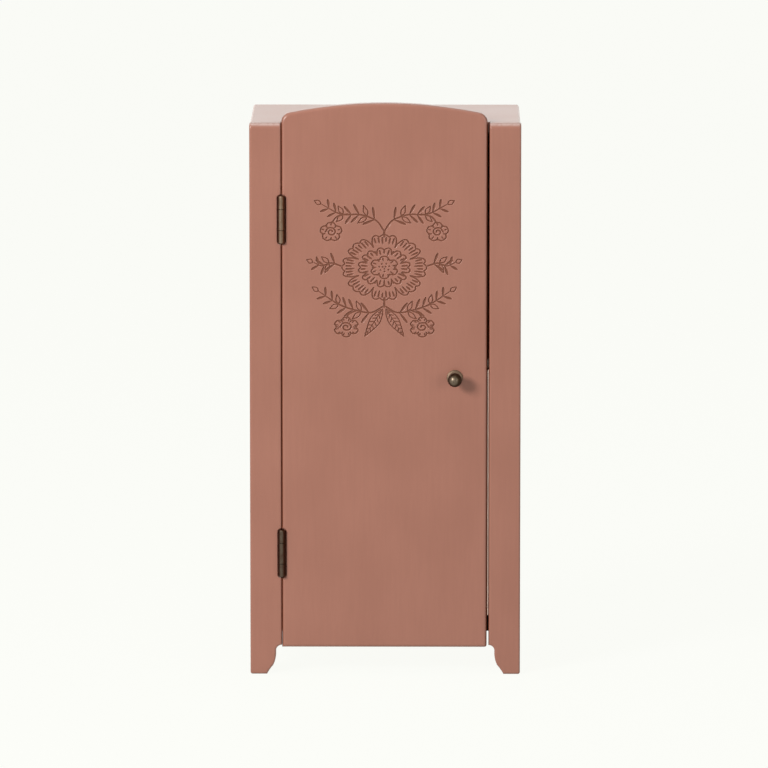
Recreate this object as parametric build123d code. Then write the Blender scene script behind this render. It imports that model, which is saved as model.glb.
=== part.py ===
from build123d import *
import os

# Miniature wardrobe for a dolls house: a glued and nailed wooden box with two front
# stiles, an arched inset door on two small butt hinges, one shelf and a hanging rail.
# Millimetres. +Z up, the door faces -Y. The origin lies on the floor, under the middle
# of the overall box, from the front of the knob to the back of the back panel.

# ---- driving dimensions ----
width = 100.0
carcass_depth = 60.0
knob_reach = 8.0
carcass_height = 205.9

side_thickness = 4.0
side_inset = 0.3
board_thickness = 4.0
bottom_board_thickness = 6.6
bottom_board_underside = 15.5
shelf_thickness = 3.6
shelf_underside = 114.2
back_thickness = 2.0
back_inset = 0.5
housing_depth = 1.0

stile_width = 11.7
stile_thickness = 4.5
top_edge_radius = 2.0
edge_radius = 0.8
fine_radius = 0.4

door_thickness = 4.35
door_bottom = 10.15
door_apex = 213.2
door_edge_radius = 1.2
arch_rise = 4.1
corner_radius = 3.8
foot_corner_radius = 0.8
hinge_gap = 0.1
lock_gap = 0.68

rail_radius = 1.75
rail_height = 188.0
rail_setback = 31.0

strip_thickness = 0.42
strip_depth = 2.6
strip_setback = 0.9
strip_round = 0.12
strip_groove_width = 0.15
strip_groove_depth = 0.8
magnet_radius = 1.25
magnet_length = 3.0
magnet_x = 34.5

hinge_heights = {"upper": 170.2, "lower": 45.6}
hinge_length = 18.0
end_knuckle = 5.0
knuckle_gap = 0.2
barrel_radius = 1.15
barrel_end_round = 0.6
pin_radius = 0.45
pin_inset = 0.1
pin_clearance = 0.05
barrel_proud = 0.6
scoop_radius = 1.85
scoop_end_round = 1.4
leaf_thickness = 0.4
leaf_reach = 4.1
leaf_split = 0.1
leaf_notch_radius = 1.35
nail_spacing = 10.4
nail_setback = 2.9
nail_head_radius = 0.7
nail_shank_radius = 0.3
nail_length = 3.4

knob_x = 25.7
knob_height = 111.3
knob_ball_radius = 2.6
rosette_radius = 3.0
rosette_thickness = 0.7
rosette_rim = 0.25
rosette_flat_radius = 1.9
neck_radius = 1.25
neck_foot_radius = 1.7
neck_waist_radius = 1.15
screw_radius = 0.7
screw_head_radius = 1.9
screw_head_height = 1.1
screw_bite = 3.6
slot_width = 0.45
slot_depth = 0.5

plate_radius = 1.8
plate_thickness = 0.5
tack_head_radius = 0.9
tack_shank_radius = 0.35
tack_length = 2.6

brad_head_radius = 0.75
brad_head_height = 0.5
brad_shank_radius = 0.4
brad_length = 8.0
brad_rows = 5
brad_edge = 8.0

# ---- derived values ----
half = width / 2
front = -(carcass_depth + knob_reach) / 2 + knob_reach
back = front + carcass_depth
carcass_back = back - back_thickness
stile_back = front + stile_thickness
stile_inner = half - stile_width
side_inner = half - side_thickness
door_left = -stile_inner + hinge_gap
door_right = stile_inner - lock_gap
door_middle = (door_left + door_right) / 2
door_back = front + door_thickness
door_shoulder = door_apex - arch_rise
bottom_board_top = bottom_board_underside + bottom_board_thickness
magnet_height = shelf_underside + shelf_thickness / 2
pin_x = -stile_inner + pin_inset
pin_y = front - barrel_proud


# ---- shared shapes ----
def block(x_low, x_high, y_low, y_high, z_low, z_high):
    """A box between two corners."""
    size = (x_high - x_low, y_high - y_low, z_high - z_low)
    middle = ((x_low + x_high) / 2, (y_low + y_high) / 2, (z_low + z_high) / 2)
    return Pos(*middle) * Box(*size)


def rod(start, direction, radius, length):
    """A round bar that starts at a point and runs along a direction."""
    return extrude(Plane(start, z_dir=direction) * Circle(radius), length)


def nail(start, direction, head_radius, head_height, shank_radius, length):
    """A countersunk nail with the flat of its head at start, driven along a direction."""
    outline = Polyline(
        (0, 0), (head_radius, 0), (shank_radius, head_height),
        (shank_radius, length - shank_radius), (0, length), close=True,
    )
    turned = revolve(Plane.XZ * make_face(outline), Axis.Z)
    return Plane(start, z_dir=direction) * turned


def edges_at(shape, axis, **place):
    """The straight edges along an axis whose middles have the given coordinates."""
    found = shape.edges().filter_by(axis)
    for name, value in place.items():
        found = found.filter_by(
            lambda edge: abs(getattr(edge.center(), name) - value) < 0.01
        )
    return found


def save(shape, node):
    export_step(shape, f"parts/{node}.step")


# ---- foot profile: bracket foot, drawn as distance from the outer edge and height ----
foot_top = 10.9
foot_points = {
    "toe": (6.15, 0.0), "cove": (7.2, 1.75), "cove_top": (8.5, 3.4),
    "belly": (9.35, 6.0), "belly_top": (9.5, 8.6), "throat": (10.1, 10.25),
}


def foot_curve(place, end):
    """The three arcs of a foot, from its toe up to the end point."""
    toe, cove, cove_top, belly, belly_top, throat = map(place, foot_points.values())
    return [
        ThreePointArc(toe, cove, cove_top),
        ThreePointArc(cove_top, belly, belly_top),
        ThreePointArc(belly_top, throat, place(end)),
    ]


# ---- hinges ----
def hinge_leaf(height, side):
    """One leaf with its knuckles. side is -1 for the frame leaf, 1 for the door leaf."""
    low = height - hinge_length / 2
    high = height + hinge_length / 2
    near = pin_x + side * leaf_split / 2
    far = near + side * leaf_thickness
    x_low, x_high = min(near, far), max(near, far)
    plate = block(x_low, x_high, pin_y, front + leaf_reach, low, high)
    middle_low = low + end_knuckle
    middle_high = high - end_knuckle
    if side < 0:
        spans = [(low, middle_low), (middle_high, high)]
        others = [(middle_low, middle_high)]
        bore = pin_radius
    else:
        spans = [(middle_low + knuckle_gap, middle_high - knuckle_gap)]
        others = [(low, middle_low + knuckle_gap), (middle_high - knuckle_gap, high)]
        bore = pin_radius + pin_clearance
    leaf = plate
    for start, end in others:
        leaf -= rod((pin_x, pin_y, start), (0, 0, 1), leaf_notch_radius, end - start)
    for start, end in spans:
        leaf += hinge_barrel(height) & knuckle_span(start, end)
    leaf -= rod((pin_x, pin_y, low), (0, 0, 1), bore, hinge_length)
    return leaf


def hinge_barrel(height):
    """The whole barrel with rounded ends, before it is cut into knuckles."""
    barrel = rod((pin_x, pin_y, height - hinge_length / 2), (0, 0, 1), barrel_radius, hinge_length)
    return fillet(barrel.edges().filter_by(GeomType.CIRCLE), barrel_end_round)


def knuckle_span(low, high):
    """A block that holds the stretch of the barrel between two heights."""
    reach = 2 * barrel_radius
    return block(pin_x - reach, pin_x + reach, pin_y - reach, pin_y + reach, low, high)


def hinge_nails(height, side):
    """The two flush nails of one leaf, driven away from the gap."""
    start_x = pin_x + side * leaf_split / 2
    return [
        nail(
            (start_x, front + nail_setback, height + step * nail_spacing / 2),
            (side, 0, 0), nail_head_radius, leaf_thickness, nail_shank_radius, nail_length,
        )
        for step in (-1, 1)
    ]


def hinge_pin(height):
    start = (pin_x, pin_y, height - hinge_length / 2)
    return rod(start, (0, 0, 1), pin_radius, hinge_length)


def hinge_scoop(height):
    """The round recess in both wooden edges that gives the barrel room to turn."""
    length = hinge_length + 2 * fine_radius
    start = (pin_x, pin_y, height - length / 2)
    scoop = rod(start, (0, 0, 1), scoop_radius, length)
    return fillet(scoop.edges().filter_by(GeomType.CIRCLE), scoop_end_round)


def leaf_recess(height, side):
    """The shallow mortise that a leaf lies in."""
    low = height - hinge_length / 2
    near = pin_x
    far = pin_x + side * (leaf_split / 2 + leaf_thickness)
    x_low, x_high = min(near, far), max(near, far)
    return block(x_low, x_high, pin_y, front + leaf_reach, low, low + hinge_length)


# ---- carcass ----
def stile(side):
    """A front upright with a shaped foot. side is -1 for the left one."""
    def place(point):
        return (side * (half - point[0]), point[1])

    top_inner = (stile_width, carcass_height)
    corner = (stile_width, foot_top)
    outline = Curve() + foot_curve(place, corner) + [
        Polyline(
            place(corner), place(top_inner), place((0, carcass_height)),
            place((0, 0)), place(foot_points["toe"]),
        )
    ]
    board = extrude(Plane.XZ.offset(-stile_back) * make_face(outline), stile_thickness)
    board = fillet(edges_at(board, Axis.X, Y=front, Z=carcass_height), top_edge_radius)
    round_start = carcass_height - top_edge_radius
    rounded = board.faces().sort_by(Axis.Y)[0].edges().filter_by(
        lambda edge: edge.center().Z < round_start - fine_radius
    )
    rounded += board.edges().filter_by(
        lambda edge: edge.geom_type == GeomType.CIRCLE and edge.center().Z > round_start
    )
    rounded += edges_at(board, Axis.Y, X=side * half)
    return fillet(rounded, edge_radius)


def side_panel(side):
    """A side with a foot at each end and a cut-out between them.

    Its outer face lies a little inside the stile's outer edge.
    """
    y_low, y_high = stile_back, carcass_back

    def front_place(point):
        return (front + point[0], point[1])

    def back_place(point):
        return (y_high - point[0], point[1])

    corner = (stile_width, foot_top)
    outline = Curve() + foot_curve(front_place, corner) + foot_curve(back_place, corner) + [
        Line(front_place(corner), back_place(corner)),
        Polyline(
            front_place(foot_points["toe"]), (y_low, 0), (y_low, carcass_height),
            (y_high, carcass_height), (y_high, 0), back_place(foot_points["toe"]),
        ),
    ]
    start_x = side_inset - half if side < 0 else side_inner
    panel = extrude(Plane.YZ.offset(start_x) * make_face(outline), side_thickness - side_inset)
    outer_face = panel.faces().sort_by(Axis.X)[0 if side < 0 else -1]
    rounded = outer_face.edges().filter_by(
        lambda edge: edge.center().Y > y_low + fine_radius
        and not 0.1 < edge.center().Z < foot_top + 0.1
    )
    panel = fillet(rounded, edge_radius)
    for board in (top_board(), bottom_board(), shelf(), hanging_rail()):
        panel -= board
    for brad in back_brads():
        panel -= brad
    return panel


def housed_board(z_low, z_high):
    """A board across the carcass whose ends sit in shallow housings in the sides."""
    reach = side_inner + housing_depth
    board = block(-reach, reach, stile_back, carcass_back, z_low, z_high)
    return fillet(edges_at(board, Axis.X, Y=stile_back), fine_radius)


def top_board():
    return housed_board(carcass_height - board_thickness, carcass_height)


def bottom_board():
    return housed_board(bottom_board_underside, bottom_board_top)


def shelf():
    return housed_board(shelf_underside, shelf_underside + shelf_thickness)


def back_panel():
    """The thin back, nailed on behind the sides and the top and bottom boards."""
    reach = half - back_inset
    high = carcass_height - back_inset
    panel = block(-reach, reach, carcass_back, back, bottom_board_underside, high)
    panel = fillet(panel.edges().group_by(Axis.Y)[-1], fine_radius)
    for brad in back_brads():
        panel -= brad
    return panel


def back_brads():
    """Small nails through the back panel into the sides, the top, shelf and bottom."""
    low = bottom_board_underside + brad_edge
    step = (carcass_height - brad_edge - low) / (brad_rows - 1)
    side_x = half - side_thickness / 2
    places = [(side * side_x, low + row * step) for side in (-1, 1) for row in range(brad_rows)]
    board_heights = (
        carcass_height - board_thickness / 2,
        shelf_underside + shelf_thickness / 2,
        bottom_board_underside + bottom_board_thickness / 2,
    )
    places += [(side * half / 2, height) for height in board_heights for side in (-1, 1)]
    return [
        nail(
            (x, back, z), (0, -1, 0),
            brad_head_radius, brad_head_height, brad_shank_radius, brad_length,
        )
        for x, z in places
    ]


def hanging_rail():
    """The clothes rail, a dowel whose ends sit in blind holes in the sides."""
    reach = half - side_thickness / 2
    start = (-reach, front + rail_setback, rail_height)
    return rod(start, (1, 0, 0), rail_radius, 2 * reach)


def door_edge_strip():
    """The thin strip on the right stile that narrows the gap beside the door's lower half.

    A groove along its front keeps its nose clear of the stile.
    """
    x_low, y_low = stile_inner - strip_thickness, front + strip_setback
    span = (bottom_board_top, shelf_underside)
    strip = block(x_low, stile_inner, y_low, y_low + strip_depth, *span)
    strip = fillet(edges_at(strip, Axis.Z, X=x_low), strip_round)
    groove_start = stile_inner - strip_groove_width
    return strip - block(groove_start, stile_inner, y_low, y_low + strip_groove_depth, *span)


def catch_magnet():
    """A round magnet let into the front edge of the shelf."""
    start = (magnet_x, stile_back, magnet_height)
    return rod(start, (0, 1, 0), magnet_radius, magnet_length)


# ---- door ----
def door_blank():
    """The arched door board with rounded edges, before anything is let into it."""
    low_left = (door_left, door_bottom)
    low_right = (door_right, door_bottom)
    shoulder_left = (door_left, door_shoulder)
    shoulder_right = (door_right, door_shoulder)
    outline = Curve() + [
        Polyline(shoulder_left, low_left, low_right, shoulder_right),
        ThreePointArc(shoulder_right, (door_middle, door_apex), shoulder_left),
    ]
    face = make_face(Plane.XZ * outline)
    shoulders = face.vertices().group_by(Axis.Z)[-1]
    face = fillet(shoulders, corner_radius)
    face = fillet(face.vertices().group_by(Axis.Z)[0].sort_by(Axis.X)[-1], foot_corner_radius)
    board = extrude(Pos(0, door_back, 0) * face, door_thickness, dir=(0, -1, 0))
    board = fillet(board.faces().sort_by(Axis.Y)[0].edges(), door_edge_radius)
    return fillet(board.faces().sort_by(Axis.Y)[-1].edges(), fine_radius)


def door():
    """The door board with its hinge mortises and the holes for its fittings."""
    board = door_blank()
    for height in hinge_heights.values():
        board -= hinge_scoop(height)
        board -= leaf_recess(height, 1)
        for driven in hinge_nails(height, 1):
            board -= driven
    for fitting in (knob_screw(), catch_plate_blank(), catch_tack()):
        board -= fitting
    return board


def knob():
    """A turned ball knob with a short waisted neck, standing on its rosette."""
    tip = (0, knob_reach)
    ball_centre = knob_reach - knob_ball_radius
    ball_start = ball_centre - (knob_ball_radius**2 - neck_radius**2) ** 0.5
    neck_foot = (neck_foot_radius, rosette_thickness)
    neck_waist = (neck_waist_radius, (rosette_thickness + ball_start) / 2)
    neck_top = (neck_radius, ball_start)
    outline = Curve() + [
        Polyline(tip, (0, rosette_thickness), neck_foot),
        ThreePointArc(neck_foot, neck_waist, neck_top),
        ThreePointArc(neck_top, (knob_ball_radius, ball_centre), tip),
    ]
    turned = revolve(Plane.XZ * make_face(outline), Axis.Z)
    return knob_place() * turned - knob_screw()


def knob_rosette():
    """The low domed washer between the knob and the door."""
    rim = (rosette_radius, rosette_rim)
    flat_start = (rosette_flat_radius, rosette_thickness)
    outline = Curve() + [
        Polyline(flat_start, (0, rosette_thickness), (0, 0), (rosette_radius, 0), rim),
        TangentArc(flat_start, rim, tangent=(1, 0)),
    ]
    turned = revolve(Plane.XZ * make_face(outline), Axis.Z)
    return knob_place() * turned - knob_screw()


def knob_place():
    """The knob's axis: out of the door's front face, towards -Y."""
    return Plane((knob_x, front, knob_height), z_dir=(0, -1, 0))


def knob_screw():
    """The pan-head screw that holds the knob from inside the door."""
    reach = door_thickness + screw_bite
    shank = rod((knob_x, door_back, knob_height), (0, -1, 0), screw_radius, reach)
    head = rod(
        (knob_x, door_back, knob_height), (0, 1, 0), screw_head_radius, screw_head_height
    )
    head = fillet(head.edges().group_by(Axis.Y)[-1], screw_head_height / 2)
    head_top = door_back + screw_head_height
    slot = block(
        knob_x - screw_head_radius, knob_x + screw_head_radius,
        head_top - slot_depth, head_top,
        knob_height - slot_width / 2, knob_height + slot_width / 2,
    )
    return shank + head - slot


def catch_plate_blank():
    start = (magnet_x, door_back, magnet_height)
    return rod(start, (0, -1, 0), plate_radius, plate_thickness)


def catch_plate():
    """The steel disc that the magnet holds, let into the back of the door."""
    return catch_plate_blank() - catch_tack()


def catch_tack():
    start = (magnet_x, door_back, magnet_height)
    return nail(
        start, (0, -1, 0), tack_head_radius, plate_thickness, tack_shank_radius, tack_length
    )


# ---- the pieces ----
def build():
    os.makedirs("parts", exist_ok=True)
    left_stile = stile(-1)
    for height in hinge_heights.values():
        left_stile -= hinge_scoop(height)
        left_stile -= leaf_recess(height, -1)
        for driven in hinge_nails(height, -1):
            left_stile -= driven
    save(left_stile, "left_stile")
    save(stile(1), "right_stile")
    save(side_panel(-1), "left_side_panel")
    save(side_panel(1), "right_side_panel")

    brads = back_brads()
    boards = {
        "top_board": top_board(),
        "bottom_board": bottom_board(),
        "shelf": shelf() - catch_magnet(),
    }
    for name, board in boards.items():
        for brad in brads:
            board -= brad
        save(board, name)
    save(back_panel(), "back_panel")
    save(Compound(brads), "back_panel_brads")
    save(hanging_rail(), "hanging_rail")
    save(door_edge_strip(), "door_edge_strip")
    save(catch_magnet(), "catch_magnet")

    for name, height in hinge_heights.items():
        for side, owner in ((-1, "frame"), (1, "door")):
            nails = hinge_nails(height, side)
            leaf = hinge_leaf(height, side)
            for driven in nails:
                leaf -= driven
            save(leaf, f"{name}_hinge_{owner}_leaf")
            save(Compound(nails), f"{name}_hinge_{owner}_nails")
        save(hinge_pin(height), f"{name}_hinge_pin")

    save(door(), "door")
    save(knob(), "knob")
    save(knob_rosette(), "knob_rosette")
    save(knob_screw(), "knob_screw")
    save(catch_plate(), "catch_plate")
    save(catch_tack(), "catch_plate_tack")


build()
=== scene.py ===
"""Miniature wardrobe: the looks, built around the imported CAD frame. Metres throughout."""
import math

import bpy
import numpy as np
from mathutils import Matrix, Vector
from mathutils.geometry import delaunay_2d_cdt


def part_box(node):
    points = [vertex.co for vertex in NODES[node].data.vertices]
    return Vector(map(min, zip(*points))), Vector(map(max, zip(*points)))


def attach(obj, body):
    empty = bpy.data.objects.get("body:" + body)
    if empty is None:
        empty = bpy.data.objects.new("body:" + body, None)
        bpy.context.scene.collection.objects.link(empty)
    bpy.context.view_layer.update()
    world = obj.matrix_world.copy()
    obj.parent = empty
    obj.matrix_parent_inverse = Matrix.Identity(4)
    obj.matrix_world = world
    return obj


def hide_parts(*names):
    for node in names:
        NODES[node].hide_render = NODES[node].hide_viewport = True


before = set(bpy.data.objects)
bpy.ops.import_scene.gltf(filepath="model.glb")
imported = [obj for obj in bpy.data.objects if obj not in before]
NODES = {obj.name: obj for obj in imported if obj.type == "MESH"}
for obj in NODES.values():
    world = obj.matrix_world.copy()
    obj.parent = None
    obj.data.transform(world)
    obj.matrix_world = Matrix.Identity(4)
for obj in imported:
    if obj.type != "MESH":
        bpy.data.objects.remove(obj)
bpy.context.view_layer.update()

MM = 0.001
STILE_LOW, STILE_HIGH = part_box("left_stile")
DOOR_LOW, DOOR_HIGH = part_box("door")
FRONT = STILE_LOW[1]


# ---- node helpers ----
class Graph:
    """A small wrapper that adds and links shader nodes."""

    def __init__(self, name):
        self.material = bpy.data.materials.new(name)
        self.material.use_nodes = True
        self.tree = self.material.node_tree
        self.tree.nodes.clear()
        self.shader = self.add("ShaderNodeBsdfPrincipled")
        output = self.add("ShaderNodeOutputMaterial")
        self.link(self.shader.outputs["BSDF"], output.inputs["Surface"])
        coordinates = self.add("ShaderNodeTexCoord")
        self.position = coordinates.outputs["Object"]
        self.normal = coordinates.outputs["Normal"]

    def add(self, kind, **settings):
        node = self.tree.nodes.new(kind)
        for name, value in settings.items():
            setattr(node, name, value)
        return node

    def link(self, source, target):
        self.tree.links.new(source, target)

    def set(self, **values):
        """Constants on the shader's own sockets."""
        for name, value in values.items():
            self.shader.inputs[name.replace("_", " ")].default_value = value

    def stretched(self, scale):
        """The object's own position in millimetres, scaled along each axis."""
        mapping = self.add("ShaderNodeMapping")
        mapping.inputs["Scale"].default_value = [s / MM for s in scale]
        self.link(self.position, mapping.inputs["Vector"])
        return mapping.outputs["Vector"]

    def noise(self, scale, detail=3.0, roughness=0.5):
        """Noise with about one blob per millimetre at a scale of 1 along each axis."""
        node = self.add("ShaderNodeTexNoise")
        node.inputs["Scale"].default_value = 1.0
        node.inputs["Detail"].default_value = detail
        node.inputs["Roughness"].default_value = roughness
        self.link(self.stretched(scale), node.inputs["Vector"])
        return node.outputs["Fac"]

    def along(self, vector, axis):
        """One coordinate of a vector: X, Y or Z."""
        node = self.add("ShaderNodeSeparateXYZ")
        self.link(vector, node.inputs["Vector"])
        return node.outputs[axis]

    def remap(self, value, low, high, to_low, to_high):
        """A value carried from one range to another, with soft ends and nothing beyond them."""
        node = self.add("ShaderNodeMapRange", interpolation_type="SMOOTHSTEP")
        names = ("From Min", "From Max", "To Min", "To Max")
        for name, number in zip(names, (low, high, to_low, to_high)):
            node.inputs[name].default_value = number
        self.link(value, node.inputs["Value"])
        return node.outputs["Result"]

    def math(self, operation, first, second):
        node = self.add("ShaderNodeMath", operation=operation)
        for socket, value in zip(node.inputs, (first, second)):
            if isinstance(value, (int, float)):
                socket.default_value = value
            else:
                self.link(value, socket)
        return node.outputs["Value"]

    def mix(self, factor, first, second):
        """A blend of two colours by a factor, each a constant or a socket."""
        node = self.add("ShaderNodeMix", data_type="RGBA")
        if isinstance(factor, (int, float)):
            node.inputs["Factor"].default_value = factor
        else:
            self.link(factor, node.inputs["Factor"])
        for socket, value in zip((node.inputs[6], node.inputs[7]), (first, second)):
            if isinstance(value, tuple):
                socket.default_value = (*value, 1.0)
            else:
                self.link(value, socket)
        return node.outputs[2]

    def attribute(self, name):
        return self.add("ShaderNodeAttribute", attribute_name=name).outputs["Fac"]

    def colour(self, source):
        self.link(source, self.shader.inputs["Base Color"])

    def roughness(self, source):
        self.link(source, self.shader.inputs["Roughness"])

    def bump(self, height, distance):
        node = self.add("ShaderNodeBump")
        node.inputs["Strength"].default_value = 1.0
        node.inputs["Distance"].default_value = distance
        self.link(height, node.inputs["Height"])
        self.link(node.outputs["Normal"], self.shader.inputs["Normal"])


# ---- materials: colours, and noise scales along X, Y and Z ----
PAINT = (0.416, 0.174, 0.119)
PAINT_LIGHT = (0.448, 0.196, 0.139)
PAINT_DARK = (0.36, 0.147, 0.1)
# a painted highlight colour for roundings that face up
EDGE_HIGHLIGHT_PINK = (0.72, 0.55, 0.5)
# painted shade for the faces at the gaps beside the door
GAP_SHADE_BROWN = (0.2, 0.055, 0.024)
# near-black painted shade for the bottom board's front edge behind the door
FRONT_SHADE_BLACK = (0.05, 0.016, 0.008)
SHELF_EDGE = (0.85, 0.63, 0.5)
CARVED_BROWN = (0.17, 0.052, 0.023)
# a painted highlight colour for the lips round the carved cuts
LIP_HIGHLIGHT_PINK = (0.49, 0.225, 0.165)
OLD_DOWEL, OLD_DOWEL_GRAIN = (0.64, 0.45, 0.27), (0.47, 0.29, 0.15)
PALE_STRIP, PALE_STRIP_GRAIN = (0.92, 0.7, 0.58), (0.8, 0.58, 0.47)
STEEL, STEEL_WORN = (0.5, 0.49, 0.46), (0.33, 0.31, 0.29)
NICKEL, NICKEL_WORN = (0.66, 0.66, 0.65), (0.5, 0.5, 0.5)
# the most painted highlight laid on roundings that face up
EDGE_HIGHLIGHT_SHARE = 0.62
PAINT_EVENNESS = 0.68
PAINT_RELIEF = 0.008 * MM
# a paint roughness that crosses about 0.27 shows hard-edged patches once denoised, so it stays above
PAINT_ROUGHNESS = (0.278, 0.305)
# how far out from the middle the painted gap shade reaches, and how it fades
GAP_FAR = -STILE_HIGH[0] + 0.3 * MM
GAP_FADE = 0.2 * MM
# the side that gets the brass's painted highlight, standing in for reflections: front and a little left
PAINTED_HIGHLIGHT_SIDE = (-0.28, -0.96, 0.0)
ACROSS = (0.07, 0.9, 0.9)
UPRIGHT = (0.9, 0.9, 0.07)


def painted_edge_highlight(g):
    """Up to EDGE_HIGHLIGHT_SHARE of painted highlight on roundings that face up and out.

    It is 0 on upright faces and on flat tops.
    """
    upward = g.along(g.normal, "Z")
    rising = g.remap(upward, 0.25, 0.8, 0.0, EDGE_HIGHLIGHT_SHARE)
    return g.math("MULTIPLY", rising, g.remap(upward, 0.93, 0.995, 1.0, 0.0))


def painted_gap_shade(g):
    """Painted shade: 1 on faces turned sideways on both sides of the gaps beside the door, 0 elsewhere.
    """
    sideways = g.math("ABSOLUTE", g.along(g.normal, "X"), 0.0)
    sideways = g.remap(sideways, 0.55, 0.92, 0.0, 1.0)
    out = g.math("ABSOLUTE", g.along(g.position, "X"), 0.0)
    near = g.remap(out, GAP_FAR, GAP_FAR + GAP_FADE, 1.0, 0.0)
    return g.math("MULTIPLY", sideways, near)


def painted_wood(name, grain, carved=False, front=None, specular=0.5):
    """Satin paint over sanded wood, with brush strokes along the grain.

    A carved board is darker in its cuts, and paler on their lips as a painted highlight.
    Faces turned sideways at the gaps beside the door get painted shade, and uncarved
    boards a painted highlight on roundings that face up, broken up by the strokes.
    front is the colour of a board's front edge, where it differs from the rest: near-black
    painted shade on the bottom board, a pale bare edge on the shelf.
    """
    g = Graph(name)
    clouds = g.noise((0.045, 0.045, 0.03), detail=4.0)
    strokes = g.noise(grain, detail=5.0, roughness=0.6)
    tint = g.mix(g.remap(clouds, 0.3, 0.7, 0.0, 1.0), PAINT_DARK, PAINT_LIGHT)
    base = g.mix(PAINT_EVENNESS, tint, PAINT)
    streaks = g.remap(strokes, 0.35, 0.7, 0.0, 0.22)
    base = g.mix(streaks, base, PAINT_DARK)
    # painted shade on the faces at the gaps beside the door
    base = g.mix(painted_gap_shade(g), base, GAP_SHADE_BROWN)
    if not carved:
        # a painted highlight on roundings that face up, broken up by the brush strokes
        edge_highlight = g.math("MULTIPLY", painted_edge_highlight(g), g.remap(strokes, 0.3, 0.6, 0.55, 1.0))
        base = g.mix(edge_highlight, base, EDGE_HIGHLIGHT_PINK)
    # a front edge colour: on the bottom board it is near-black painted shade
    if front:
        forward = g.remap(g.along(g.normal, "Y"), -0.5, -0.8, 0.0, 1.0)
        base = g.mix(forward, base, front)
    if carved:
        depth = g.attribute("carved")
        # a painted highlight on the lips, where the carved value is below 0
        base = g.mix(g.remap(depth, 0.0, -1.0, 0.0, 0.8), base, LIP_HIGHLIGHT_PINK)
        base = g.mix(g.remap(depth, 0.05, 0.8, 0.0, 0.95), base, CARVED_BROWN)
    g.colour(base)
    roughness = g.remap(clouds, 0.3, 0.7, *PAINT_ROUGHNESS)
    if carved:
        roughness = g.math("ADD", roughness, g.remap(depth, 0.0, 1.0, 0.0, 0.4))
    g.roughness(roughness)
    fine = g.noise((2.2, 2.2, 2.2), detail=2.0)
    relief = g.math("ADD", g.math("MULTIPLY", strokes, 0.6), g.math("MULTIPLY", fine, 0.4))
    g.bump(relief, PAINT_RELIEF)
    g.set(Specular_IOR_Level=specular)
    return g.material


def bare_wood():
    """Turned wood with its grain along X."""
    g = Graph("bare_wood")
    grain = g.noise((0.05, 1.1, 1.1), detail=6.0, roughness=0.65)
    g.colour(g.mix(g.remap(grain, 0.3, 0.7, 0.0, 1.0), OLD_DOWEL, OLD_DOWEL_GRAIN))
    g.roughness(g.remap(grain, 0.3, 0.7, 0.5, 0.62))
    g.bump(grain, 0.04 * MM)
    return g.material


def strip_wood():
    """Pale wood with its grain upright."""
    g = Graph("strip_wood")
    grain = g.noise((1.5, 1.5, 0.08), detail=5.0, roughness=0.6)
    g.colour(g.mix(g.remap(grain, 0.3, 0.7, 0.0, 1.0), PALE_STRIP, PALE_STRIP_GRAIN))
    g.roughness(g.remap(grain, 0.3, 0.7, 0.55, 0.7))
    g.bump(grain, 0.03 * MM)
    return g.material


def aged_brass(name, dark, light, shine):
    """Brass with a dark patina, and a painted highlight on the side turned to PAINTED_HIGHLIGHT_SIDE;
    its dark sides are partly painted shade. shine is its roughness where the patina noise is high.
    """
    g = Graph(name)
    patina = g.noise((0.9, 0.9, 0.45), detail=5.0, roughness=0.6)
    scratches = g.noise((4.0, 4.0, 0.7), detail=3.0)
    # a painted highlight on the side turned front and left, broken up by the patina; the sides turned
    # away are partly painted shade
    facing = g.add("ShaderNodeVectorMath", operation="DOT_PRODUCT")
    facing.inputs[1].default_value = PAINTED_HIGHLIGHT_SIDE
    g.link(g.normal, facing.inputs[0])
    wear_and_highlight = g.remap(facing.outputs["Value"], 0.6, 0.98, 0.0, 1.0)
    wear_and_highlight = g.math("MULTIPLY", wear_and_highlight, g.remap(patina, 0.3, 0.6, 0.45, 1.0))
    g.colour(g.mix(wear_and_highlight, dark, light))
    g.roughness(g.remap(patina, 0.3, 0.7, shine + 0.12, shine))
    g.set(Metallic=1.0)
    g.bump(scratches, 0.012 * MM)
    return g.material


def plain_metal(name, colour, wear_and_highlight, shine):
    """Metal with small duller spots. shine is the roughness between them."""
    g = Graph(name)
    spots = g.noise((0.9, 0.9, 0.9), detail=4.0)
    g.colour(g.mix(g.remap(spots, 0.35, 0.7, 0.0, 1.0), colour, wear_and_highlight))
    g.roughness(g.remap(spots, 0.3, 0.7, shine, shine + 0.12))
    g.set(Metallic=1.0)
    g.bump(g.noise((5.0, 5.0, 5.0)), 0.008 * MM)
    return g.material


MATERIALS = {
    "paint_upright": painted_wood("paint_upright", UPRIGHT),
    "paint_across": painted_wood("paint_across", ACROSS),
    "paint_carved": painted_wood("paint_carved", UPRIGHT, carved=True),
    # the bottom board's front edge gets near-black painted shade and little shine
    "paint_bottom_painted_shade": painted_wood("paint_bottom_painted_shade", ACROSS, front=FRONT_SHADE_BLACK, specular=0.05),
    "paint_shelf": painted_wood("paint_shelf", ACROSS, front=SHELF_EDGE),
    "bare_wood": bare_wood(),
    "strip_wood": strip_wood(),
    "upper_brass": aged_brass("upper_brass", (0.085, 0.031, 0.014), (0.185, 0.132, 0.092), 0.4),
    "lower_brass": aged_brass("lower_brass", (0.035, 0.01, 0.004), (0.088, 0.066, 0.048), 0.4),
    "knob_brass": aged_brass("knob_brass", (0.035, 0.02, 0.01), (0.155, 0.12, 0.086), 0.36),
    "rosette_brass": aged_brass("rosette_brass", (0.11, 0.07, 0.045), (0.17, 0.115, 0.08), 0.5),
    "steel": plain_metal("steel", STEEL, STEEL_WORN, 0.35),
    "nickel": plain_metal("nickel", NICKEL, NICKEL_WORN, 0.2),
}

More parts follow.
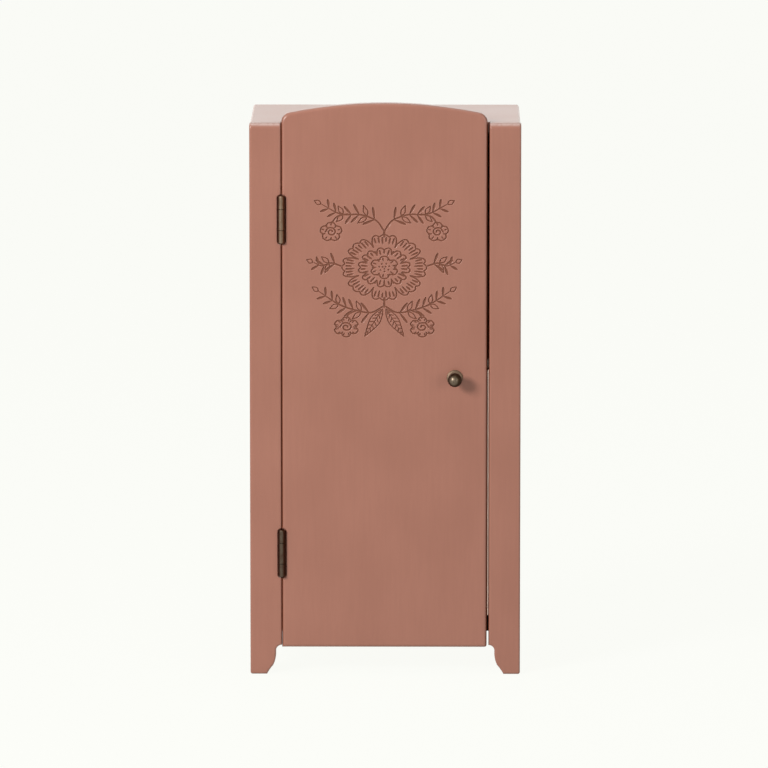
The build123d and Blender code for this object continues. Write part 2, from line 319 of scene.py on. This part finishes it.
NODE_MATERIALS = {
    "left_stile": "paint_upright", "right_stile": "paint_upright",
    "left_side_panel": "paint_upright", "right_side_panel": "paint_upright",
    "door": "paint_carved", "back_panel": "paint_upright",
    "top_board": "paint_across", "bottom_board": "paint_bottom_painted_shade", "shelf": "paint_shelf",
    "hanging_rail": "bare_wood", "door_edge_strip": "strip_wood",
    "back_panel_brads": "steel", "knob_screw": "steel",
    "catch_plate": "steel", "catch_plate_tack": "steel", "catch_magnet": "nickel",
    "knob": "knob_brass", "knob_rosette": "rosette_brass",
}
for hinge in ("upper", "lower"):
    for piece in ("frame_leaf", "frame_nails", "door_leaf", "door_nails", "pin"):
        NODE_MATERIALS[f"{hinge}_hinge_{piece}"] = f"{hinge}_brass"


def dress_cad_nodes():
    """Gives every CAD node its own procedural material."""
    for name, node in NODES.items():
        chosen = MATERIALS[NODE_MATERIALS[name]]
        node.data.materials.clear()
        node.data.materials.append(chosen)


# ---- the carved flowers: a plain mirrored spray, in millimetres from the bloom's middle ----
BLOOM_X = (DOOR_LOW[0] + DOOR_HIGH[0]) / 2 / MM
BLOOM_HEIGHT = 152.4
CARVED_LEFT, CARVED_RIGHT = -29.4, 29.4
CARVED_LOW, CARVED_HIGH = -28.0, 28.0
CARVING_DEPTH = 0.38
STEM_WIDTH = 0.7
LINE_WIDTH = 0.58
MARK_WIDTH = 0.77
LEAF_WIDTH = 1.1
OPEN_LEAF_WIDTH = 1.5
LEAF_TURN = 52.0
SEED_SIZE = 0.8
LINE_DEPTH = 0.9
LEAF_DEPTH = 0.95
SAMPLE_STEP = 0.07


def smooth_path(points):
    """Points closely spaced along a smooth curve through the given ones."""
    knots = [np.array(p, float) for p in points]
    knots = [2 * knots[0] - knots[1], *knots, 2 * knots[-1] - knots[-2]]
    path = []
    for before, start, end, after in zip(knots, knots[1:], knots[2:], knots[3:]):
        count = max(2, int(np.linalg.norm(end - start) / SAMPLE_STEP))
        for step in range(count):
            t = step / count
            path.append(0.5 * (
                2 * start + (end - before) * t
                + (2 * before - 5 * start + 4 * end - after) * t**2
                + (3 * start - before - 3 * end + after) * t**3
            ))
    path.append(knots[-2])
    return np.array(path)


class Carving:
    """Collects strokes as round dents: place, half width and share of the full depth."""

    def __init__(self):
        self.dents = []

    def line(self, points, width=LINE_WIDTH, end=1.0):
        """A groove along a smooth path, whose width may taper to its end."""
        path = smooth_path(points)
        left = np.linspace(1.0, 0.0, len(path))
        taper = end + (1.0 - end) * np.clip(left * 3.0, 0.0, 1.0)
        for (u, v), share in zip(path, taper):
            self.dents.append((u, v, width * share / 2, LINE_DEPTH * (0.6 + 0.4 * share)))

    def seed(self, place):
        self.dents.append((*place, SEED_SIZE / 2, LINE_DEPTH))

    def solid_leaf(self, base, tip):
        """A short leaf cut as one drop-shaped dent, widest past its middle."""
        count = max(6, int(np.linalg.norm(tip - base) / SAMPLE_STEP))
        for step in range(count + 1):
            t = step / count
            share = 0.35 + 0.65 * math.sin(math.pi * min(1.0, t**1.2 * 0.92))
            u, v = base + (tip - base) * t
            self.dents.append((u, v, LEAF_WIDTH * share / 2, LEAF_DEPTH))

    def open_leaf(self, base, tip, width=OPEN_LEAF_WIDTH):
        """A leaf drawn by its two edges."""
        along = tip - base
        across = np.array((-along[1], along[0])) / np.linalg.norm(along)
        for side in (-1, 1):
            low = base + along * 0.2 + across * side * width * 0.36
            belly = base + along * 0.5 + across * side * width / 2
            self.line([base, low, belly, tip], LINE_WIDTH * 0.8)

    def hatched_leaf(self, base, tip, width, count):
        """A broad leaf with a vein and slanting marks."""
        base, tip = np.array(base, float), np.array(tip, float)
        self.open_leaf(base, tip, width)
        along = tip - base
        across = np.array((-along[1], along[0])) / np.linalg.norm(along)
        self.line([base, tip - along * 0.12], LINE_WIDTH * 0.65, end=0.4)
        for step in range(1, count + 1):
            t = step / (count + 1.0)
            root = base + along * (t - 0.04)
            for side in (-1, 1):
                end = root + along * 0.08 + across * side * width * 0.38 * math.sin(math.pi * t)
                self.line([root, end], LINE_WIDTH * 0.75)


def on_oval(middle, radii, angle, share=1.0):
    """A point at an angle in degrees, a share of the way out to an oval."""
    turn = math.radians(angle)
    return (
        middle[0] + radii[0] * share * math.cos(turn),
        middle[1] + radii[1] * share * math.sin(turn),
    )


def carve_marks(carving, middle, radii, angles, shares, count, width=MARK_WIDTH):
    """Short thick marks that run inwards from an oval, of slightly uneven length."""
    first, last = angles
    for step in range(count):
        angle = first + (last - first) * (step + 0.5) / count
        length = (shares[1] - shares[0]) * (0.82 + 0.18 * math.sin(step * 2.4))
        start = on_oval(middle, radii, angle, shares[1])
        end = on_oval(middle, radii, angle, shares[1] - length)
        carving.line([start, end], width, end=0.45)


def carve_petal(carving, middle, radii, angles, inner, waves, depth):
    """The ruffled outline of a petal between two angles, running in to a share at both ends.

    waves is the number of ruffles, and depth their share of the oval.
    """
    first, last = angles
    edge = [on_oval(middle, radii, first, inner)]
    steps = waves * 4
    for step in range(steps + 1):
        t = step / steps
        ruffle = 1.0 - depth * (1.0 - abs(math.sin(math.pi * waves * t)))
        shoulder = 1.0 - 0.14 * abs(2.0 * t - 1.0) ** 6
        angle = first + (last - first) * (0.04 + 0.92 * t)
        edge.append(on_oval(middle, radii, angle, ruffle * shoulder))
    edge.append(on_oval(middle, radii, last, inner))
    carving.line(edge)


def carve_ring(carving, middle, radii, petals, inner, waves, depth):
    """A ring of equal petals round a middle, the first one centred at the top."""
    span = 360.0 / petals
    for petal in range(petals):
        first = 90.0 + (petal - 0.5) * span
        carve_petal(carving, middle, radii, (first, first + span), inner, waves, depth)


def carve_bloom(carving):
    """The round bloom: two rings of petals with marks, and a heart with seeds."""
    middle = (0.0, 0.0)
    outer, petals = (15.6, 12.2), 8
    carve_ring(carving, middle, outer, petals, 0.66, 3, 0.06)
    span = 360.0 / petals
    for petal in range(petals):
        centre = 90.0 + petal * span
        angles = (centre - 0.4 * span, centre + 0.4 * span)
        carve_marks(carving, middle, outer, angles, (0.7, 0.9), 6)
    ring = (9.6, 7.3)
    carve_ring(carving, middle, ring, 8, 0.72, 2, 0.09)
    carve_marks(carving, middle, ring, (0, 360), (0.62, 0.87), 30)
    heart = (5.2, 4.1)
    carve_ring(carving, middle, heart, 6, 0.8, 1, 0.14)
    carve_marks(carving, middle, heart, (0, 360), (0.55, 0.84), 13, LINE_WIDTH)
    for seeds, share in ((7, 0.36), (3, 0.12)):
        for seed in range(seeds):
            carving.seed(on_oval(middle, heart, 360.0 * (seed + 0.3) / seeds, share))


def carve_rose(carving, middle, radii, petals):
    """A small rose: a ring of petals with marks, round a curled heart."""
    carve_ring(carving, middle, radii, petals, 0.6, 1, 0.1)
    carve_marks(carving, middle, radii, (0, 360), (0.6, 0.84), petals * 2, LINE_WIDTH)
    curl = [on_oval(middle, radii, step * 60.0, 0.52 - 0.045 * step) for step in range(10)]
    carving.line(curl, LINE_WIDTH * 1.1)


def carve_twig(carving, points, pairs, length):
    """A curved stem with pairs of leaves, shorter towards its tip, and one leaf at the tip.

    Every third pair is drawn open, the others cut solid.
    """
    carving.line(points, STEM_WIDTH, end=0.6)
    path = smooth_path(points)
    for pair in range(pairs + 1):
        at_tip = pair == pairs
        share = 0.22 + 0.78 * pair / pairs
        place = int(share * (len(path) - 1))
        along = path[place] - path[place - 1]
        heading = math.degrees(math.atan2(along[1], along[0]))
        for turn in (0.0,) if at_tip else (-LEAF_TURN, LEAF_TURN):
            angle = math.radians(heading + turn)
            outward = np.array((math.cos(angle), math.sin(angle)))
            base = path[place] + outward * STEM_WIDTH / 2
            tip = base + outward * length * (1.1 - 0.45 * share)
            if pair % 3 == 1:
                carving.open_leaf(base, tip)
            else:
                carving.solid_leaf(base, tip)


def carve_right_half():
    """The twigs, small roses and broad leaves right of the middle."""
    carving = Carving()
    carve_twig(carving, [(0.0, 13.4), (3.0, 17.4), (9.0, 19.6), (16.0, 19.8), (23.0, 23.4)], 7, 4.2)
    carving.line([(13.6, 19.8), (17.4, 18.8), (19.4, 16.4)], STEM_WIDTH)
    carve_rose(carving, (19.6, 13.2), (4.0, 3.5), 5)
    carve_twig(carving, [(16.0, 0.6), (19.6, 1.6), (23.0, 0.6), (26.0, 1.8)], 4, 3.8)
    carve_twig(carving, [(0.6, -14.6), (5.0, -16.8), (11.0, -15.8), (17.0, -13.6), (24.0, -9.0)], 7, 4.2)
    carving.line([(10.0, -16.0), (12.8, -17.2), (13.9, -19.0)], STEM_WIDTH)
    carve_rose(carving, (14.0, -22.2), (4.6, 3.6), 6)
    carving.hatched_leaf((0.6, -15.4), (7.2, -25.6), 3.6, 7)
    return carving.dents


def carve_motif():
    """The bloom with a short stem above and below it, and the half spray mirrored about it."""
    whole = Carving()
    carve_bloom(whole)
    for root, tip in ((11.4, 13.4), (-11.4, -14.8)):
        whole.line([(0.0, root), (0.0, tip)], STEM_WIDTH * 1.25)
    right = carve_right_half()
    left = [(-u, v, radius, depth) for u, v, radius, depth in right]
    return whole.dents + right + left


# ---- the carved door ----
COARSE = 0.7
FINE_PER_COARSE = 5
FINE = COARSE / FINE_PER_COARSE
COLUMNS = round((CARVED_RIGHT - CARVED_LEFT) / COARSE)
ROWS = round((CARVED_HIGH - CARVED_LOW) / COARSE)
RIM_HEIGHT = 0.03
RIM_WIDTH = 0.22
FLAT_DOWN_TO = 0.001 * MM


def carving_depths(dents):
    """Depth below the door's face, in millimetres, at each corner of the fine grid."""
    cut = np.zeros((COLUMNS * FINE_PER_COARSE + 1, ROWS * FINE_PER_COARSE + 1))
    rim = np.zeros_like(cut)
    for u, v, radius, depth in dents:
        reach = radius + RIM_WIDTH
        low_i = max(0, int((u - reach - CARVED_LEFT) / FINE))
        low_j = max(0, int((v - reach - CARVED_LOW) / FINE))
        count = int(2 * reach / FINE) + 2
        i = np.arange(low_i, min(low_i + count, cut.shape[0]))
        j = np.arange(low_j, min(low_j + count, cut.shape[1]))
        du = CARVED_LEFT + i * FINE - u
        dv = CARVED_LOW + j * FINE - v
        away = np.hypot(du[:, None], dv[None, :])
        bowl = np.clip(1.0 - (away / radius) ** 2, 0.0, 1.0) ** 0.8 * depth
        lip = np.clip(1.0 - np.abs(away - radius - RIM_WIDTH / 2) * 2 / RIM_WIDTH, 0.0, 1.0)
        patch = np.ix_(i, j)
        cut[patch] = np.maximum(cut[patch], bowl)
        rim[patch] = np.maximum(rim[patch], lip)
    depths = CARVING_DEPTH * cut - RIM_HEIGHT * rim * (cut == 0.0)
    depths[[0, -1], :] = 0.0
    depths[:, [0, -1]] = 0.0
    return depths


def carved_cells(depths):
    """True for each coarse cell that a stroke or its rim touches.

    The array has one more row and column on each side, so cell (0, 0) is at (1, 1).
    """
    n = FINE_PER_COARSE
    marked = np.abs(depths) > 1e-6
    carved = np.zeros((COLUMNS + 2, ROWS + 2), bool)
    for column in range(COLUMNS):
        for row in range(ROWS):
            i, j = column * n, row * n
            carved[column + 1, row + 1] = marked[i:i + n + 1, j:j + n + 1].any()
    return carved


def fine_faces(i, j):
    """The small square faces of one carved cell, as grid corners."""
    for a in range(i, i + FINE_PER_COARSE):
        for b in range(j, j + FINE_PER_COARSE):
            yield [(a, b), (a + 1, b), (a + 1, b + 1), (a, b + 1)]


def coarse_face(carved, column, row):
    """The one face of a plain cell, with extra corners along its carved neighbours."""
    n = FINE_PER_COARSE
    i, j = column * n, row * n
    sides = (
        (carved[column + 1, row], (i, j), (1, 0)),
        (carved[column + 2, row + 1], (i + n, j), (0, 1)),
        (carved[column + 1, row + 2], (i + n, j + n), (-1, 0)),
        (carved[column, row + 1], (i, j + n), (0, -1)),
    )
    return [
        (x + dx * k, z + dz * k)
        for split, (x, z), (dx, dz) in sides
        for k in range(n if split else 1)
    ]


def panel_faces(depths):
    """All faces of the carved panel, as lists of grid corners."""
    carved = carved_cells(depths)
    faces = []
    for column in range(COLUMNS):
        for row in range(ROWS):
            if carved[column + 1, row + 1]:
                faces += fine_faces(column * FINE_PER_COARSE, row * FINE_PER_COARSE)
            else:
                faces.append(coarse_face(carved, column, row))
    return faces


def panel_edge():
    """The grid corners round the carved panel, anticlockwise from its lower left one."""
    n = FINE_PER_COARSE
    wide, high = COLUMNS * n, ROWS * n
    edge = [(i, 0) for i in range(0, wide, n)]
    edge += [(wide, j) for j in range(0, high, n)]
    edge += [(i, high) for i in range(wide, 0, -n)]
    edge += [(0, j) for j in range(high, 0, -n)]
    return edge


def carved_panel(face_y):
    """Vertices, faces, normals, carved values and outer edge of the door face's carved part.

    The carved value is 1 at full depth, 0 on the flat face and -1 on a full rim.
    """
    depths = carving_depths(carve_motif())
    slope_x, slope_z = np.gradient(depths, FINE)
    index = {}
    places, normals, carved = [], [], []
    faces = panel_faces(depths)
    for corner in (corner for face in faces for corner in face):
        if corner in index:
            continue
        index[corner] = len(places)
        i, j = corner
        depth = depths[i, j]
        places.append((
            (BLOOM_X + CARVED_LEFT + i * FINE) * MM,
            face_y + depth * MM,
            (BLOOM_HEIGHT + CARVED_LOW + j * FINE) * MM,
        ))
        normals.append(tuple(Vector((slope_x[i, j], -1.0, slope_z[i, j])).normalized()))
        carved.append(depth / (CARVING_DEPTH if depth > 0.0 else RIM_HEIGHT))
    faces = [[index[corner] for corner in face] for face in faces]
    return places, faces, normals, carved, [index[corner] for corner in panel_edge()]


def boundary_loops(triangles):
    """The closed loops of vertex numbers round a patch of triangles."""
    following = {}
    edges = {(a, b) for t in triangles for a, b in zip(t, t[1:] + t[:1])}
    for a, b in edges:
        if (b, a) not in edges:
            following[a] = b
    loops = []
    while following:
        start, nearby = following.popitem()
        loop = [start]
        while nearby != start:
            loop.append(nearby)
            nearby = following.pop(nearby)
        loops.append(loop)
    return loops


def inside(point, loop):
    """True if a point lies within a closed loop of points."""
    hit = False
    for (ax, az), (bx, bz) in zip(loop, loop[1:] + loop[:1]):
        if (az > point[1]) != (bz > point[1]):
            hit ^= point[0] < ax + (point[1] - az) * (bx - ax) / (bz - az)
    return hit


def split_cad_door(cad, face_y):
    """The CAD door's welded vertices, its faces and normals, and the flat front's faces apart."""
    places, index, number = [], {}, {}
    for vertex in cad.vertices:
        key = tuple(round(c / MM, 4) for c in vertex.co)
        if key not in index:
            index[key] = len(places)
            places.append(tuple(vertex.co))
        number[vertex.index] = index[key]
    faces, normals, flat = [], [], []
    for polygon in cad.polygons:
        corners = [number[v] for v in polygon.vertices]
        if len(set(corners)) < 3:
            continue
        if all(places[c][1] < face_y + FLAT_DOWN_TO for c in corners):
            flat.append(corners)
            continue
        faces.append(corners)
        normals += [tuple(cad.corner_normals[loop].vector) for loop in polygon.loop_indices]
    return places, faces, normals, flat


def flat_surround(places, loops):
    """Triangles that fill the door's flat face between its outline and the carved panel."""
    rim = [c for loop in loops for c in loop]
    flat_places = [Vector((places[c][0] / MM, places[c][2] / MM)) for c in rim]
    edges, start = [], 0
    for loop in loops:
        count = len(loop)
        edges += [(start + k, start + (k + 1) % count) for k in range(count)]
        start += count
    made = delaunay_2d_cdt(flat_places, edges, [], 0, 1e-6)
    corners = [(p.x, p.y) for p in made[0]]
    owner = {origin: k for k, origins in enumerate(made[3]) for origin in origins}
    back_to = {owner[k]: rim[k] for k in range(len(rim))}
    outlines = [[(places[c][0] / MM, places[c][2] / MM) for c in loop] for loop in loops]
    triangles = []
    for triangle in made[2]:
        middle = np.mean([corners[c] for c in triangle], axis=0)
        if sum(inside(middle, outline) for outline in outlines) == 1:
            triangles.append([back_to[c] for c in triangle])
    return triangles


def carved_door():
    """The CAD door's own shape with its flat face replaced by one that holds the carving."""
    cad = NODES["door"].data
    face_y = min(vertex.co.y for vertex in cad.vertices)
    places, faces, normals, flat = split_cad_door(cad, face_y)
    loops = boundary_loops(flat)
    carved = [0.0] * len(places)

    new_places, new_faces, new_normals, new_carved, new_edge = carved_panel(face_y)
    offset = len(places)
    places += new_places
    carved += new_carved
    for face in new_faces:
        faces.append([offset + c for c in face])
        normals += [new_normals[c] for c in face]
    loops.append([offset + c for c in new_edge])

    for triangle in flat_surround(places, loops):
        faces.append(triangle)
        normals += [(0.0, -1.0, 0.0)] * 3

    mesh = bpy.data.meshes.new("carved_door")
    mesh.from_pydata(places, [], faces)
    mesh.shade_smooth()
    mesh.normals_split_custom_set(normals)
    depth = mesh.attributes.new("carved", "FLOAT", "POINT")
    depth.data.foreach_set("value", carved)
    mesh.materials.append(MATERIALS["paint_carved"])
    door = bpy.data.objects.new("carved_door", mesh)
    bpy.context.scene.collection.objects.link(door)
    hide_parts("door")
    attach(door, "door")


# ---- studio ----
CAMERA_DISTANCE = 2.79
CAMERA_HEIGHT = 0.545
CAMERA_SIDE = 0.018
AIM_HEIGHT = 0.10902
AIM_SIDE = -0.00044
LENS = 358.7
SENSOR_WIDTH = 36.0
CLIP_END = 20.0
CARD_WHITE = (0.965, 0.973, 0.93, 1.0)
FLOOR_REACH = 12.0
FLOOR_GREY = (0.045, 0.045, 0.045, 1.0)
FLOOR_SEEN, FLOOR_LIGHTING = 0.975, 0.22
WORLD_SEEN, WORLD_LIGHTING = 1.02, 0.15
MIDDLE = (0.0, 0.0, 0.1)
ABOVE_MIDDLE = (0.0, 0.0, 0.2)
# each light: its place, what it aims at, its side and its power
LIGHTS = {
    "key": ((-0.95, -1.07, 0.68), MIDDLE, 0.44, 17.7),
    "fill": ((1.6, -1.8, 0.6), MIDDLE, 1.2, 11.0),
    "overhead": ((0.0, -0.1, 1.5), (0.0, -0.02, 0.2), 0.8, 3.5),
    "backdrop": ((0.0, 3.0, 0.95), ABOVE_MIDDLE, 1.9, 6.2),
}


def aim(item, target):
    direction = Vector(target) - item.location
    item.rotation_euler = direction.to_track_quat("-Z", "Y").to_euler()


def add_camera():
    data = bpy.data.cameras.new("camera")
    data.sensor_width = SENSOR_WIDTH
    data.lens = LENS
    data.clip_end = CLIP_END
    camera = bpy.data.objects.new("camera", data)
    camera.location = (CAMERA_SIDE, FRONT - CAMERA_DISTANCE, CAMERA_HEIGHT)
    aim(camera, (AIM_SIDE, FRONT, AIM_HEIGHT))
    bpy.context.scene.collection.objects.link(camera)
    bpy.context.scene.camera = camera


def add_area_light(name, place, target, size, power):
    data = bpy.data.lights.new(name, "AREA")
    data.shape = "SQUARE"
    data.size = size
    data.energy = power
    light = bpy.data.objects.new(name, data)
    light.location = place
    aim(light, target)
    bpy.context.scene.collection.objects.link(light)


def seen_or_lighting(tree, seen, lighting):
    """A strength that is one number to the camera and mirrors, and another as soft light."""
    path = tree.nodes.new("ShaderNodeLightPath")
    node = tree.nodes.new("ShaderNodeMapRange")
    node.inputs["To Min"].default_value = seen
    node.inputs["To Max"].default_value = lighting
    tree.links.new(path.outputs["Is Diffuse Ray"], node.inputs["Value"])
    return node.outputs["Result"]


def add_floor():
    """A pale seamless floor. Most of its tone is its own light, so shadows stay faint."""
    far = FLOOR_REACH
    mesh = bpy.data.meshes.new("floor")
    corners = [(-far, -far, 0), (far, -far, 0), (far, far, 0), (-far, far, 0)]
    mesh.from_pydata(corners, [], [(0, 1, 2, 3)])
    floor = bpy.data.objects.new("floor", mesh)
    bpy.context.scene.collection.objects.link(floor)
    g = Graph("floor")
    g.set(Base_Color=FLOOR_GREY, Roughness=1.0, Specular_IOR_Level=0.0)
    g.set(Emission_Color=CARD_WHITE)
    strength = seen_or_lighting(g.tree, FLOOR_SEEN, FLOOR_LIGHTING)
    g.link(strength, g.shader.inputs["Emission Strength"])
    mesh.materials.append(g.material)


def add_world():
    world = bpy.data.worlds.new("world")
    world.use_nodes = True
    background = world.node_tree.nodes["Background"]
    background.inputs["Color"].default_value = CARD_WHITE
    strength = seen_or_lighting(world.node_tree, WORLD_SEEN, WORLD_LIGHTING)
    world.node_tree.links.new(strength, background.inputs["Strength"])
    bpy.context.scene.world = world


def build_studio():
    add_camera()
    add_world()
    add_floor()
    for name, settings in LIGHTS.items():
        add_area_light(name, *settings)
    bpy.context.scene.view_settings.view_transform = "Standard"


# ---- the scene ----
dress_cad_nodes()
carved_door()
build_studio()
